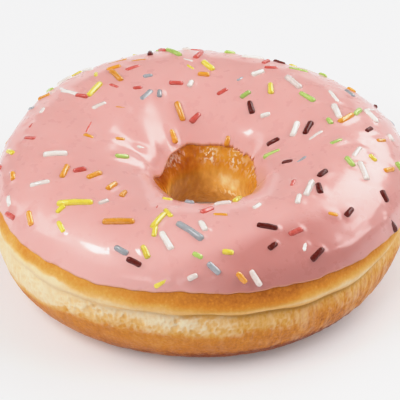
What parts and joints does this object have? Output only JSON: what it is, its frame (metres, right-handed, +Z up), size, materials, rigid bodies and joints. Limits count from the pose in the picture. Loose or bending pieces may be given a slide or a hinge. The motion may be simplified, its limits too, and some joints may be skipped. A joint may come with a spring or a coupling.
{
  "type": "sprinkle frosted ring doughnut",
  "caption": "Raised ring doughnut with a folded golden crust, pink icing over its top and scattered sugar sprinkles.",
  "frame": {"origin": "on the surface the doughnut rests on, under the middle of its outline", "axes": "+Z up through the hole, -Y towards the side with the deepest fold, +X to the right of that side"},
  "size_m": [0.0954, 0.0903, 0.032],
  "materials": {
    "crust": "satin",
    "icing": "gloss",
    "sprinkle_orange": "satin",
    "sprinkle_yellow": "satin",
    "sprinkle_lime": "satin",
    "sprinkle_white": "satin",
    "sprinkle_coral": "satin",
    "sprinkle_chocolate": "satin",
    "sprinkle_grey": "satin"
  },
  "bodies": {
    "root": {"dough": "crust", "icing": "icing"}
  },
  "joints": []
}
